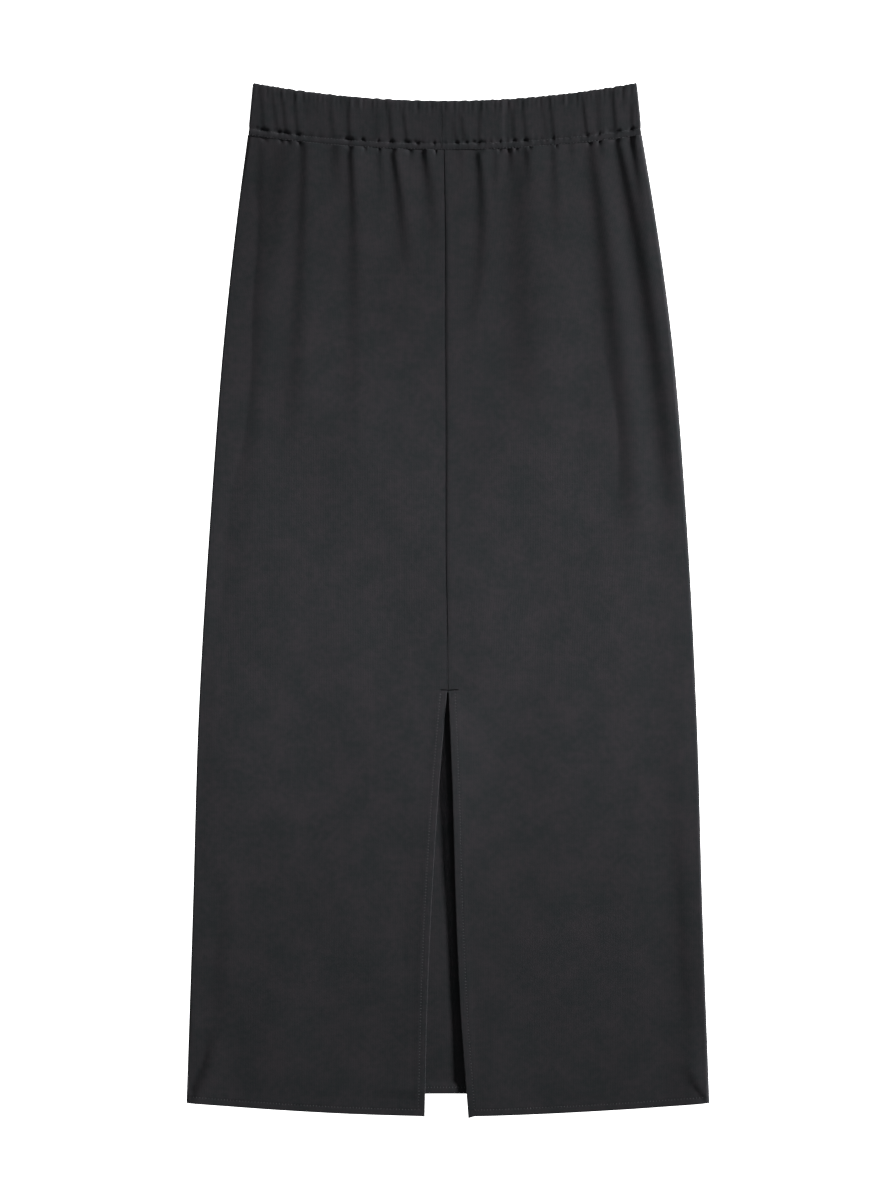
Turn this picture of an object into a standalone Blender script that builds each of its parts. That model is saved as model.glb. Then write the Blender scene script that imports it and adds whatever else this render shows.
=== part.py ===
"""An ankle-length jersey skirt, lying flat with its front up.

The skirt is a tube of heavy jersey. Two front panels meet at a centre seam that ends in a slit, one back
panel lies under them, and a waistband with a wide elastic in it gathers the waist. The waist is towards +Y,
the hem towards -Y and the front towards +Z. Sizes are in metres, and left and right are as seen from above.
"""

import math
from collections import namedtuple

import bpy
import numpy as np

# Cloth and seams
CLOTH = 0.0012
SEAM_GAP = 0.0003
TURNED_EDGE = 0.0065
CLOTH_COLOUR = (0.028, 0.028, 0.030, 1.0)
CLOTH_ROUGHNESS = 0.9

# Heights along the skirt, measured from the middle of its length
TOP_CORNER_Y = 0.4585
TOP_DIP = 0.0160
WAIST_SEAM_Y = 0.4118
WAIST_SEAM_DIP = 0.0129
HEM_CORNER_Y = -0.4460
HEM_DROP = 0.0122
HEM_CURVE = 1.7
BACK_HEM_RISE = 0.0080
SLIT_TOP_Y = -0.0809

# The waistband: cloth, elastic, cloth
WAISTBAND = 0.0034
WAISTBAND_TOP_HALF = 0.1699
WAISTBAND_HEIGHT = 0.0437

# Heights of the front's upper side above the floor
FRONT_LAID = 0.0034
FRONT_AT_WAIST = 0.0059
FRONT_AT_HEM = 0.0040
WAIST_FALL = 0.09
SIDE_SEAM_Z = 0.00195
SIDE_RIDGE = 0.024
SLIT_LIFT = 0.0024
SLIT_LIFT_WIDTH = 0.030
FLAP_DROOP = 0.0022
FLAP_DROOP_START = 0.003
FLAP_DROOP_END = 0.018

# Outline of the tube: how wide it is at a share of the way down, and how far its middle lies to one side
Section = namedtuple("Section", "down half_width shift")
SECTIONS = (
    Section(down=0.00, half_width=0.1742, shift=-0.0028),
    Section(down=0.07, half_width=0.1832, shift=-0.0018),
    Section(down=0.20, half_width=0.1972, shift=-0.0002),
    Section(down=0.38, half_width=0.2097, shift=0.0003),
    Section(down=0.60, half_width=0.2203, shift=-0.0003),
    Section(down=0.80, half_width=0.2254, shift=-0.0003),
    Section(down=1.00, half_width=0.2312, shift=0.0),
)

# The slit's two edges, as distances from the middle at a share of the way from its top to the hem
SlitRow = namedtuple("SlitRow", "down left right")
SLIT_ROWS = (
    SlitRow(down=0.00, left=0.0006, right=0.0006),
    SlitRow(down=0.25, left=0.0084, right=0.0045),
    SlitRow(down=0.50, left=0.0143, right=0.0071),
    SlitRow(down=0.75, left=0.0184, right=0.0112),
    SlitRow(down=1.00, left=0.0206, right=0.0180),
)

# Soft troughs that run down from the gathers. Each one starts at a place across the waist seam and dies out
# at another place across, some way below the seam.
Fold = namedtuple("Fold", "start end reach half_width depth")
FOLDS = (
    Fold(start=-0.159, end=-0.171, reach=0.16, half_width=0.007, depth=0.0010),
    Fold(start=-0.128, end=-0.135, reach=0.20, half_width=0.008, depth=0.0019),
    Fold(start=-0.100, end=-0.099, reach=0.05, half_width=0.006, depth=0.0008),
    Fold(start=-0.086, end=-0.080, reach=0.26, half_width=0.006, depth=0.0028),
    Fold(start=-0.062, end=-0.061, reach=0.04, half_width=0.005, depth=0.0008),
    Fold(start=-0.048, end=-0.032, reach=0.14, half_width=0.006, depth=0.0029),
    Fold(start=-0.021, end=-0.013, reach=0.08, half_width=0.005, depth=0.0022),
    Fold(start=0.012, end=0.013, reach=0.04, half_width=0.005, depth=0.0009),
    Fold(start=0.028, end=0.024, reach=0.24, half_width=0.006, depth=0.0028),
    Fold(start=0.058, end=0.066, reach=0.20, half_width=0.009, depth=0.0015),
    Fold(start=0.072, end=0.070, reach=0.06, half_width=0.005, depth=0.0012),
    Fold(start=0.097, end=0.105, reach=0.13, half_width=0.008, depth=0.0011),
    Fold(start=0.126, end=0.155, reach=0.27, half_width=0.009, depth=0.0022),
    Fold(start=0.153, end=0.193, reach=0.27, half_width=0.008, depth=0.0029),
    Fold(start=0.166, end=0.172, reach=0.06, half_width=0.005, depth=0.0014),
)
FOLD_SPREAD = 1.2
FOLD_FADE = 1.3

# Creases of the gathered waistband, each from a place across its top edge to a place across its stitching
Crease = namedtuple("Crease", "top foot half_width depth")
CREASES = (
    Crease(top=-0.164, foot=-0.162, half_width=0.0026, depth=0.0013),
    Crease(top=-0.145, foot=-0.149, half_width=0.0024, depth=0.0007),
    Crease(top=-0.137, foot=-0.143, half_width=0.0026, depth=0.0012),
    Crease(top=-0.126, foot=-0.132, half_width=0.0028, depth=0.0008),
    Crease(top=-0.104, foot=-0.109, half_width=0.0040, depth=0.0007),
    Crease(top=-0.089, foot=-0.086, half_width=0.0024, depth=0.0014),
    Crease(top=-0.068, foot=-0.067, half_width=0.0036, depth=0.0006),
    Crease(top=-0.053, foot=-0.049, half_width=0.0026, depth=0.0012),
    Crease(top=-0.038, foot=-0.035, half_width=0.0024, depth=0.0014),
    Crease(top=-0.019, foot=-0.017, half_width=0.0030, depth=0.0007),
    Crease(top=0.013, foot=0.016, half_width=0.0026, depth=0.0009),
    Crease(top=0.028, foot=0.025, half_width=0.0024, depth=0.0013),
    Crease(top=0.044, foot=0.045, half_width=0.0030, depth=0.0008),
    Crease(top=0.054, foot=0.059, half_width=0.0026, depth=0.0010),
    Crease(top=0.067, foot=0.071, half_width=0.0026, depth=0.0012),
    Crease(top=0.084, foot=0.088, half_width=0.0028, depth=0.0006),
    Crease(top=0.091, foot=0.096, half_width=0.0024, depth=0.0013),
    Crease(top=0.105, foot=0.109, half_width=0.0034, depth=0.0006),
    Crease(top=0.121, foot=0.124, half_width=0.0024, depth=0.0014),
    Crease(top=0.134, foot=0.133, half_width=0.0028, depth=0.0009),
    Crease(top=0.148, foot=0.149, half_width=0.0026, depth=0.0014),
    Crease(top=0.160, foot=0.162, half_width=0.0024, depth=0.0010),
)

# One section through the front waistband, from its lower end up the outside, over the top fold and down the
# inside. The rib between the two rows of stitching stands up from the grooves that the thread pulls in.
Station = namedtuple("Station", "down height creased")
WAISTBAND_SECTION = (
    Station(down=0.0437, height=0.0022, creased=0.4),
    Station(down=0.0426, height=0.0031, creased=0.3),
    Station(down=0.0409, height=0.0036, creased=0.3),
    Station(down=0.0391, height=0.0031, creased=0.5),
    Station(down=0.0379, height=0.0021, creased=0.9),
    Station(down=0.0360, height=0.0032, creased=1.2),
    Station(down=0.0290, height=0.0036, creased=1.0),
    Station(down=0.0160, height=0.0036, creased=0.9),
    Station(down=0.0040, height=0.0034, creased=0.7),
    Station(down=0.0008, height=0.0026, creased=0.4),
    Station(down=0.0000, height=0.0017, creased=0.0),
    Station(down=0.0008, height=0.0006, creased=0.0),
    Station(down=0.0030, height=0.0, creased=0.0),
    Station(down=0.0437, height=0.0, creased=0.0),
)
BACK_WAISTBAND_SECTION = (
    Station(down=0.0437, height=0.0028, creased=0.0),
    Station(down=0.0428, height=0.0034, creased=0.0),
    Station(down=0.0390, height=0.0034, creased=0.0),
    Station(down=0.0379, height=0.0028, creased=0.0),
    Station(down=0.0366, height=0.0034, creased=0.0),
    Station(down=0.0034, height=0.0034, creased=0.0),
    Station(down=0.0008, height=0.0026, creased=0.0),
    Station(down=0.0000, height=0.0017, creased=0.0),
    Station(down=0.0008, height=0.0006, creased=0.0),
    Station(down=0.0030, height=0.0, creased=0.0),
    Station(down=0.0437, height=0.0, creased=0.0),
)

# How finely the pieces are divided
PANEL_COLUMNS = 42
PANEL_ROWS = 20
BACK_COLUMNS = 24
EDGE_TURNS = 4


def smooth_step(low, high, value):
    """0 below low, 1 above high, and an S-shaped rise between them."""
    share = np.clip((value - low) / (high - low), 0.0, 1.0)
    return share * share * (3.0 - 2.0 * share)


def along(rows, column, down):
    """A column of a table at a share of the way down, on a smooth curve through the table's rows."""
    places = np.array([row.down for row in rows])
    values = np.array([getattr(row, column) for row in rows])
    slopes = np.gradient(values, places)
    below = int(np.clip(np.searchsorted(places, down) - 1, 0, len(rows) - 2))
    step = places[below + 1] - places[below]
    share = (down - places[below]) / step
    start = (1.0 + 2.0 * share) * (1.0 - share) ** 2 * values[below]
    start += share * (1.0 - share) ** 2 * step * slopes[below]
    end = share**2 * (3.0 - 2.0 * share) * values[below + 1]
    return start + end + share**2 * (share - 1.0) * step * slopes[below + 1]


def waist_seam_y(across):
    """The height of the waist seam, where across runs from -1 at the left side to 1 at the right."""
    return WAIST_SEAM_Y - WAIST_SEAM_DIP * (1.0 - across**2)


def front_hem_y(across):
    return HEM_CORNER_Y - HEM_DROP * (1.0 - abs(across) ** HEM_CURVE)


def back_hem_y(across):
    return HEM_CORNER_Y + BACK_HEM_RISE * (1.0 - across**2)


def slit_share():
    """The share of the way down the front at which the slit starts."""
    return (waist_seam_y(0.0) - SLIT_TOP_Y) / (waist_seam_y(0.0) - front_hem_y(0.0))


def inner_edge_x(down, side):
    """Where a front panel ends towards the middle. The side is -1 for the left one and 1 for the right."""
    middle = along(SECTIONS, "shift", down)
    if down <= slit_share():
        return middle + side * SEAM_GAP / 2.0
    into_slit = (down - slit_share()) / (1.0 - slit_share())
    return middle + side * along(SLIT_ROWS, "left" if side < 0 else "right", into_slit)


def fold_depth(x, below_seam):
    """How far all the folds together lower the cloth at a place."""
    depth = 0.0
    for fold in FOLDS:
        run = below_seam / fold.reach
        if run < 1.0:
            centre = fold.start + (fold.end - fold.start) * run**1.2
            width = fold.half_width * (0.7 + FOLD_SPREAD * run)
            depth += fold.depth * (1.0 - run) ** FOLD_FADE * math.exp(-(((x - centre) / width) ** 2))
    return depth


def side_seam_z(down):
    """The height of the side seam above the floor: more at the waistband and at the turned hem."""
    to_waist = (FRONT_AT_WAIST / 2.0 - SIDE_SEAM_Z) * (1.0 - smooth_step(0.0, 0.10, down))
    to_hem = ((FRONT_AT_HEM + CLOTH) / 2.0 - SIDE_SEAM_Z) * smooth_step(0.90, 0.985, down)
    return SIDE_SEAM_Z + to_waist + to_hem


def front_height(x, y, down, from_side, from_inner, side):
    """The height of the front's upper side, away from the turn at its side seam."""
    below_seam = down * (WAIST_SEAM_Y - HEM_CORNER_Y)
    height = FRONT_LAID + (FRONT_AT_WAIST - FRONT_LAID) * math.exp(-below_seam / WAIST_FALL)
    height += (FRONT_AT_HEM - FRONT_LAID) * smooth_step(0.90, 0.985, down)
    ridge = 2.0 * side_seam_z(down) - height
    height += ridge * (1.0 - smooth_step(0.0, SIDE_RIDGE, from_side))
    height -= fold_depth(x, below_seam) * smooth_step(0.0, 0.012, from_side)
    into_slit = smooth_step(slit_share() - 0.04, slit_share() + 0.20, down)
    if side > 0:
        height += SLIT_LIFT * into_slit * math.exp(-((from_inner / SLIT_LIFT_WIDTH) ** 2))
    back_hem = back_hem_y(x / along(SECTIONS, "half_width", 1.0))
    if y < back_hem:
        return height - FLAP_DROOP * smooth_step(FLAP_DROOP_START, FLAP_DROOP_END, back_hem - y)
    return max(height, 2.0 * CLOTH + SEAM_GAP)


def normals_of(points):
    """Unit normals of a grid of points. Those of its first and last rows lean to neither end, so that a
    wall made along them ends square."""
    down = np.gradient(points, axis=0)
    across = np.gradient(points, axis=1)
    normal = np.cross(across, down)
    normal[[0, -1], :, 1] = 0.0
    return normal / np.linalg.norm(normal, axis=2, keepdims=True)


def panel_rows(extra):
    """Shares of the way down for a panel's rows: close together below the gathers and at the turned hem."""
    length = WAIST_SEAM_Y - HEM_CORNER_Y
    rows = [(step / PANEL_ROWS) ** 1.6 for step in range(PANEL_ROWS)]
    to_hem = (0.030, 0.020, 0.013, 1.25 * TURNED_EDGE, TURNED_EDGE, 0.0)
    hem = [1.0 - distance / length for distance in to_hem]
    rows = [row for row in rows if row < hem[0] - 0.01]
    rows = [row for row in rows if all(abs(row - other) > 0.012 for other in extra)]
    return sorted(rows + list(extra) + hem)


def panel_columns(count, turned_inner):
    """Distances from the side seam, as shares of the width past the turn, for a panel's columns."""
    columns = [step / count for step in range(count + 1)]
    if turned_inner:
        columns[-2] = 1.0 - TURNED_EDGE / 0.21
        columns[-3] = 1.0 - 1.35 * TURNED_EDGE / 0.21
    return columns


def front_grids(side):
    """The outer and inner points of one front panel: rows from the waist seam to the hem, and columns from
    the side seam, round the turn at the side, to the middle."""
    outer = []
    walls = []
    for down in panel_rows([slit_share(), slit_share() + 0.012]):
        middle = along(SECTIONS, "shift", down)
        half = along(SECTIONS, "half_width", down)
        seam_z = side_seam_z(down)
        turn = seam_z
        turn_x = middle + side * (half - turn)
        inner_x = inner_edge_x(down, side)
        row = []
        wall = []
        places = [(math.cos(angle), math.sin(angle), 0.0) for angle in
                  (0.5 * math.pi * step / EDGE_TURNS for step in range(EDGE_TURNS))]
        places += [(0.0, 1.0, share) for share in panel_columns(PANEL_COLUMNS, True)]
        for out, up, share in places:
            x = turn_x + side * turn * out + (inner_x - turn_x) * share
            across = (x - middle) / half
            y = waist_seam_y(across) - SEAM_GAP + (front_hem_y(across) - waist_seam_y(across)) * down
            from_side = max(abs(turn_x - x) * (1.0 - out), 0.0)
            from_inner = abs(inner_x - x)
            doubled = turned(down, from_side, from_inner)
            if up < 1.0:
                height = front_height(turn_x, y, down, 0.0, abs(inner_x - turn_x), side)
            else:
                height = front_height(x, y, down, from_side, from_inner, side) + CLOTH * doubled
            z = seam_z + SEAM_GAP / 2.0 + (height - seam_z - SEAM_GAP / 2.0) * up
            row.append((x, y, z))
            wall.append(CLOTH * (1.0 + doubled))
        outer.append(row)
        walls.append(wall)
    outer = np.array(outer)
    walls = np.array(walls)[:, :, None]
    out = normals_of(outer)
    out *= np.sign(out[5, -5, 2])
    out[:, 0] = (side, 0.0, 0.0)
    return outer, outer - out * walls


def turned(down, from_side, from_inner):
    """1 where the cloth is turned under and so double, at the hem and along the slit, and 0 elsewhere."""
    length = WAIST_SEAM_Y - HEM_CORNER_Y
    to_hem = (1.0 - down) * length
    at_hem = 1.0 - smooth_step(TURNED_EDGE, 1.25 * TURNED_EDGE, to_hem)
    at_slit = 1.0 - smooth_step(TURNED_EDGE, 1.35 * TURNED_EDGE, from_inner)
    at_slit = at_slit if down > slit_share() + 0.005 else 0.0
    return max(at_hem * smooth_step(0.002, 0.008, from_side), at_slit)


def back_grids():
    """The upper and under points of the back panel, whose underside lies flat and turns up at the sides."""
    under = []
    walls = []
    for down in panel_rows([]):
        middle = along(SECTIONS, "shift", down)
        half = along(SECTIONS, "half_width", down)
        turn = side_seam_z(down)
        quarter = [0.5 * math.pi * step / EDGE_TURNS for step in range(EDGE_TURNS)]
        places = [(-math.cos(angle), math.sin(angle), 0.0) for angle in quarter]
        places += [(0.0, 1.0, step / BACK_COLUMNS) for step in range(BACK_COLUMNS + 1)]
        places += [(math.cos(angle), math.sin(angle), 1.0) for angle in reversed(quarter)]
        row = []
        wall = []
        for out, flat, share in places:
            x = middle + (half - turn) * (2.0 * share - 1.0) + turn * out
            across = (x - middle) / half
            y = waist_seam_y(across) - SEAM_GAP + (back_hem_y(across) - waist_seam_y(across)) * down
            row.append((x, y, (turn - SEAM_GAP / 2.0) * (1.0 - flat)))
            from_side = half - abs(x - middle)
            wall.append(CLOTH * (1.0 + turned(down, from_side, 1.0)))
        under.append(row)
        walls.append(wall)
    under = np.array(under)
    walls = np.array(walls)[:, :, None]
    inwards = normals_of(under)
    inwards *= np.sign(inwards[5, 12, 2])
    inwards[:, 0] = (1.0, 0.0, 0.0)
    inwards[:, -1] = (-1.0, 0.0, 0.0)
    return under + inwards * walls, under


def crease_depth(x, height_share):
    """How far the creases lower the waistband, where height_share is 0 at its top and 1 at its foot."""
    depth = 0.0
    for crease in CREASES:
        centre = crease.top + (crease.foot - crease.top) * height_share
        depth += crease.depth * math.exp(-(((x - centre) / crease.half_width) ** 2))
    return depth


def waistband_places(low, high):
    """Places across a stretch of the waistband: at each crease, on its slopes and halfway to the next."""
    places = {low, high}
    for crease in CREASES:
        centre = (crease.top + crease.foot) / 2.0
        places |= {centre + offset * crease.half_width for offset in (-1.7, -0.8, 0.0, 0.8, 1.7)}
    apart = [low]
    for place in sorted(places):
        if apart[-1] + 0.0011 < place < high - 0.0011:
            apart.append(place)
    apart.append(high)
    filled = []
    for first, second in zip(apart, apart[1:]):
        filled.append(first)
        if second - first > 0.008:
            filled.append((first + second) / 2.0)
    return filled + [high]


def waistband_ring(place, turn, side, section, lift):
    """One ring of points round the waistband's section. The place is its distance across, the turn is its
    angle round the fold at the side, and lift is 1 for the front waistband and -1 for the back one."""
    pivot_z = WAISTBAND + SEAM_GAP / 2.0
    ring = []
    for station in section:
        share = station.down / WAISTBAND_HEIGHT
        half = WAISTBAND_TOP_HALF + (SECTIONS[0].half_width - WAISTBAND_TOP_HALF) * share
        fold_x = half - WAISTBAND - SEAM_GAP / 2.0
        x = SECTIONS[0].shift + place * fold_x / (SECTIONS[0].half_width - WAISTBAND - SEAM_GAP / 2.0)
        height = station.height - station.creased * crease_depth(x, share) + SEAM_GAP / 2.0
        out = height * math.sin(turn) * side
        up = height * math.cos(turn) + SEAM_GAP / 2.0 * (1.0 - math.cos(turn))
        across = (x + out - SECTIONS[0].shift) / half
        top_y = TOP_CORNER_Y - TOP_DIP * (1.0 - across**2)
        y = top_y + (waist_seam_y(across) - top_y) * share
        ring.append((x + out, y, pivot_z + lift * up))
    return ring


def waistband_rings(low, high, section, lift):
    """Rings along a waistband from low to high. An end at the side goes on round the fold there."""
    edge = SECTIONS[0].half_width - WAISTBAND - SEAM_GAP / 2.0
    turns = [0.5 * math.pi * step / EDGE_TURNS for step in range(1, EDGE_TURNS + 1)]
    rings = []
    if low <= -edge:
        rings += [waistband_ring(low, turn, -1, section, lift) for turn in reversed(turns)]
    rings += [waistband_ring(place, 0.0, 1, section, lift) for place in waistband_places(low, high)]
    if high >= edge:
        rings += [waistband_ring(high, turn, 1, section, lift) for turn in turns]
    return rings


def add_solid(name, points, faces):
    """Links a closed mesh as one named piece of cloth, with its faces pointing outwards."""
    mesh = bpy.data.meshes.new(name)
    mesh.from_pydata([tuple(point) for point in points], [], faces)
    mesh.validate()
    mesh.update()
    piece = bpy.data.objects.new(name, mesh)
    bpy.context.scene.collection.objects.link(piece)
    volume = sum(np.dot(points[a], np.cross(points[b], points[c])) for a, b, c in triangles_of(mesh))
    if volume < 0.0:
        mesh.flip_normals()
    mesh.materials.append(jersey(f"jersey of {name}"))
    mesh.shade_smooth()
    mesh.set_sharp_from_angle(angle=math.radians(50.0))
    return piece


def triangles_of(mesh):
    mesh.calc_loop_triangles()
    return [tuple(triangle.vertices) for triangle in mesh.loop_triangles]


def wall_between(name, outer, inner):
    """A closed wall between two grids of points, with a rim round their four edges."""
    rows, columns, _ = outer.shape
    points = np.concatenate([outer.reshape(-1, 3), inner.reshape(-1, 3)])
    under = rows * columns
    faces = []
    for row in range(rows - 1):
        for column in range(columns - 1):
            corner = row * columns + column
            quad = (corner, corner + 1, corner + columns + 1, corner + columns)
            faces.append(quad)
            faces.append(tuple(index + under for index in reversed(quad)))
    rim = [column for column in range(columns)]
    rim += [row * columns + columns - 1 for row in range(1, rows)]
    rim += [(rows - 1) * columns + column for column in range(columns - 2, -1, -1)]
    rim += [row * columns for row in range(rows - 2, 0, -1)]
    for first, second in zip(rim, rim[1:] + rim[:1]):
        faces.append((second, first, first + under, second + under))
    return add_solid(name, points, faces)


def tube_of(name, rings):
    """A closed solid through rings of points, with flat ends."""
    size = len(rings[0])
    points = np.array([point for ring in rings for point in ring])
    faces = [tuple(range(size)), tuple(reversed(range(len(points) - size, len(points))))]
    for first in range(len(rings) - 1):
        for step in range(size):
            corner = first * size + step
            after = first * size + (step + 1) % size
            faces.append((after, corner, corner + size, after + size))
    return add_solid(name, points, faces)


def jersey(name):
    """Heavy cotton jersey: dark grey, with a dry matt face."""
    material = bpy.data.materials.new(name)
    material.use_nodes = True
    shader = material.node_tree.nodes["Principled BSDF"]
    shader.inputs["Base Color"].default_value = CLOTH_COLOUR
    shader.inputs["Roughness"].default_value = CLOTH_ROUGHNESS
    shader.inputs["Metallic"].default_value = 0.0
    return material


def build():
    for leftover in list(bpy.data.objects):
        bpy.data.objects.remove(leftover)
    edge = SECTIONS[0].half_width - WAISTBAND - SEAM_GAP / 2.0
    for name, side in (("left", -1), ("right", 1)):
        outer, inner = front_grids(side)
        wall_between(f"front_{name}", outer, inner)
        low, high = sorted((side * SEAM_GAP / 2.0, side * edge))
        rings = waistband_rings(low, high, WAISTBAND_SECTION, 1)
        tube_of(f"waistband_front_{name}", rings)
    upper, under = back_grids()
    wall_between("back", upper, under)
    tube_of("waistband_back", waistband_rings(-edge, edge, BACK_WAISTBAND_SECTION, -1))


build()
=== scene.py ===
# %% [markdown]
# # An ankle-length jersey skirt, lying flat
#
# The skirt is a tube of heavy charcoal jersey: two front panels with a slit between them, a back panel, and
# an elastic waistband that gathers them. It lies on its back, with the waist towards +Y and the front
# towards +Z. Every piece of cloth is a thin closed shell, worked out from the frame's boxes and a few short
# tables, whose columns are named above the first of each kind. Sizes are in metres, and folds are listed in
# millimetres. Left and right are as seen from above.

# %% The frame, and what the whole script uses
import math
from collections import namedtuple

import bpy
import numpy as np
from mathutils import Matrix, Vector


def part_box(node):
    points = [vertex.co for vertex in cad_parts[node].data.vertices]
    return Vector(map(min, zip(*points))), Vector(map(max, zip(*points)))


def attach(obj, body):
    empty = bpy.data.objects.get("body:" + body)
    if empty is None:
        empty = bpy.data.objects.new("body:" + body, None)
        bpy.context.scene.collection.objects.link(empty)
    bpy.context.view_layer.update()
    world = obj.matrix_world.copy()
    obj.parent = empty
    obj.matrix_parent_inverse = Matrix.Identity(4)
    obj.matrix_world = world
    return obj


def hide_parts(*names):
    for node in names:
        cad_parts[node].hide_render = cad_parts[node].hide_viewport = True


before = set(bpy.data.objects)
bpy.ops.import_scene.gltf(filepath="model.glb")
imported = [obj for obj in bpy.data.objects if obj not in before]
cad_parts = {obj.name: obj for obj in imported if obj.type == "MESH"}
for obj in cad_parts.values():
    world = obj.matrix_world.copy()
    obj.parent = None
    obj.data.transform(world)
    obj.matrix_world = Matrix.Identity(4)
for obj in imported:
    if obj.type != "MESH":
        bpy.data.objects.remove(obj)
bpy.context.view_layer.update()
MM = 0.001

# %% [markdown]
# ## The outline
#
# A skirt's outline could be drawn as a curve, but a maker thinks in a few widths: the waist, the hip, the
# thigh, the knee and the hem. So the outline is a short table of widths, each at its share of the way down,
# with a smooth curve through them. The hem's width and the seams' places come from the frame's boxes.

# %% Sizes from the frame
band_low, band_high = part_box("waistband_back")
back_low, back_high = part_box("back")
left_low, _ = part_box("front_left")
front_band_low, front_band_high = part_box("waistband_front_left")

SEAM_GAP = 0.3 * MM
CLOTH = 1.2 * MM
FUZZ = 0.9 * MM
HEM_HALF = (back_high.x - back_low.x) / 2.0 + FUZZ
TOP_END_Y = band_high.y
SEAM_MID_Y = band_low.y
SEAM_END_Y = back_high.y + SEAM_GAP
HEM_END_Y = back_low.y
HEM_MID_Y = left_low.y
PANEL_LENGTH = SEAM_END_Y - HEM_END_Y
BAND_THICK = band_high.z - band_low.z
print("panel length", round(PANEL_LENGTH, 4), "hem", round(2.0 * HEM_HALF, 4))

# %% The outline's widths
Section = namedtuple("Section", "down width shift")
SECTIONS = (
    Section(0.00, 0.7535, -2.8 * MM),
    Section(0.07, 0.7924, -1.8 * MM),
    Section(0.20, 0.8529, -0.2 * MM),
    Section(0.38, 0.9070, 0.3 * MM),
    Section(0.60, 0.9529, -0.3 * MM),
    Section(0.80, 0.9749, -0.3 * MM),
    Section(1.00, 1.0000, 0.0),
)
SlitRow = namedtuple("SlitRow", "down left right")
SLIT_ROWS = (
    SlitRow(0.00, 0.6 * MM, 0.6 * MM),
    SlitRow(0.25, 8.4 * MM, 4.5 * MM),
    SlitRow(0.50, 14.3 * MM, 7.1 * MM),
    SlitRow(0.75, 18.4 * MM, 11.2 * MM),
    SlitRow(1.00, 20.6 * MM, 18.0 * MM),
)
SLIT_TOP_Y = -80.9 * MM
SLIT_SHARE = (SEAM_MID_Y - SLIT_TOP_Y) / (SEAM_MID_Y - HEM_MID_Y)
HEM_CURVE = 1.7
BACK_HEM_RISE = 8.0 * MM
SEAM_WANDER = 2.2 * MM
WANDER_AT_WAIST = 0.4
WANDER_GROWS = (0.05, 0.24)
WANDER_FADES = (SLIT_SHARE - 0.16, SLIT_SHARE)
PRESS_GROWS = (SLIT_SHARE - 0.07, SLIT_SHARE - 0.03)
SEAM_PRESSED = 0.8


def smooth_step(low, high, value):
    """0 below low, 1 above high, and an S-shaped rise between them."""
    share = np.clip((value - low) / (high - low), 0.0, 1.0)
    return share * share * (3.0 - 2.0 * share)


def hump(grows, fades, value):
    """0, a rise to 1 over the stretch grows, and a fall back to 0 over the stretch fades."""
    return smooth_step(*grows, value) * (1.0 - smooth_step(*fades, value))


def smooth_curve(places, values, at):
    """Values at places along a smooth curve through the given ones."""
    slopes = np.gradient(values, places)
    at = np.asarray(at, dtype=float)
    below = np.clip(np.searchsorted(places, at) - 1, 0, len(places) - 2)
    step = places[below + 1] - places[below]
    share = (at - places[below]) / step
    start = (1.0 + 2.0 * share) * (1.0 - share) ** 2 * values[below]
    start += share * (1.0 - share) ** 2 * step * slopes[below]
    end = share**2 * (3.0 - 2.0 * share) * values[below + 1]
    return start + end + share**2 * (share - 1.0) * step * slopes[below + 1]


def along(rows, column, down):
    """A column of a table at shares of the way down."""
    places = np.array([row.down for row in rows])
    return smooth_curve(places, np.array([getattr(row, column) for row in rows]), down)


def seam_y(across):
    """The waist seam, where across runs from -1 at the left side to 1 at the right."""
    return SEAM_END_Y - (SEAM_END_Y - SEAM_MID_Y) * (1.0 - across**2)


def front_hem_y(across):
    return HEM_END_Y - (HEM_END_Y - HEM_MID_Y) * (1.0 - np.abs(across) ** HEM_CURVE)


def back_hem_y(across):
    return HEM_END_Y + BACK_HEM_RISE * (1.0 - across**2)


def seam_share(down):
    """The share of the centre seam's gap and dip that is left. It is pressed flatter just above the slit."""
    return 1.0 - SEAM_PRESSED * smooth_step(*PRESS_GROWS, down)


def inner_edge_x(down, side):
    """Where a front panel ends towards the middle. The side is -1 for the left one and 1 for the right."""
    into_slit = np.clip((down - SLIT_SHARE) / (1.0 - SLIT_SHARE), 0.0, 1.0)
    slit = along(SLIT_ROWS, "left" if side < 0 else "right", into_slit)
    seam = np.where(down > SLIT_SHARE, slit, SEAM_GAP / 2.0 * seam_share(down))
    wander = SEAM_WANDER * (WANDER_AT_WAIST + (1.0 - WANDER_AT_WAIST) * smooth_step(*WANDER_GROWS, down))
    wander = wander * (1.0 - smooth_step(*WANDER_FADES, down))
    return along(SECTIONS, "shift", down) + side * seam - wander


print("the slit starts", round(SLIT_SHARE, 3), "of the way down")
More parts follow.
